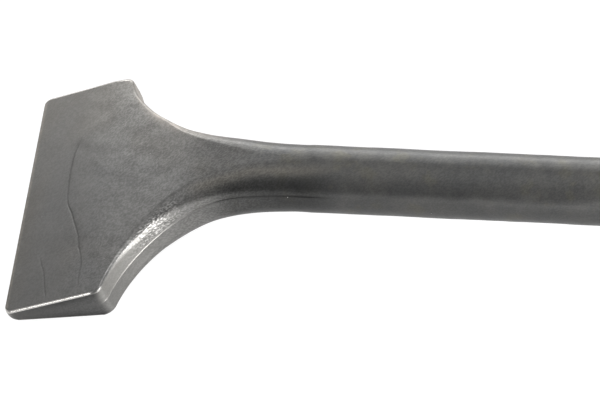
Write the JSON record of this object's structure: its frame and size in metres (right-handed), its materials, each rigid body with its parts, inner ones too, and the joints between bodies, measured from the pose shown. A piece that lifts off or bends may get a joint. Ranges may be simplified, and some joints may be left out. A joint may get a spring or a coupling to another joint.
{
  "type": "cold chisel",
  "caption": "Wide cold chisel forged in one piece with a cranked wedge blade, a flared neck and a round shank, with a slip-on hand guard by the struck end.",
  "frame": {"origin": "centre of the flat struck face, on the shank's axis", "axes": "+X along the shank and out of the struck end, +Y across the blade, +Z to the upper side, away from which the blade is cranked"},
  "size_m": [0.3, 0.075, 0.066],
  "materials": {
    "forged_steel": "dark grey heat-treated forging, satin with fine scale grain",
    "guard_plastic": "fine moulded texture",
    "grip_rubber": "soft matt elastomer",
    "ring_rubber": "smooth black rubber"
  },
  "bodies": {
    "chisel": {"forged_chisel": "forged_steel"},
    "rings": {"grip_rings": "ring_rubber"},
    "guard": {"guard_core": "guard_plastic", "guard_grip": "grip_rubber", "guard_rim": "grip_rubber"}
  },
  "joints": [
    {"name": "guard_slide", "type": "slide", "parent": "chisel", "child": "rings", "axis": [1, 0, 0], "range_m": [0, 0.145]},
    {"name": "guard_turn", "type": "hinge", "parent": "rings", "child": "guard", "pos_m": [-0.1, 0, 0], "axis": [1, 0, 0], "continuous": true}
  ]
}
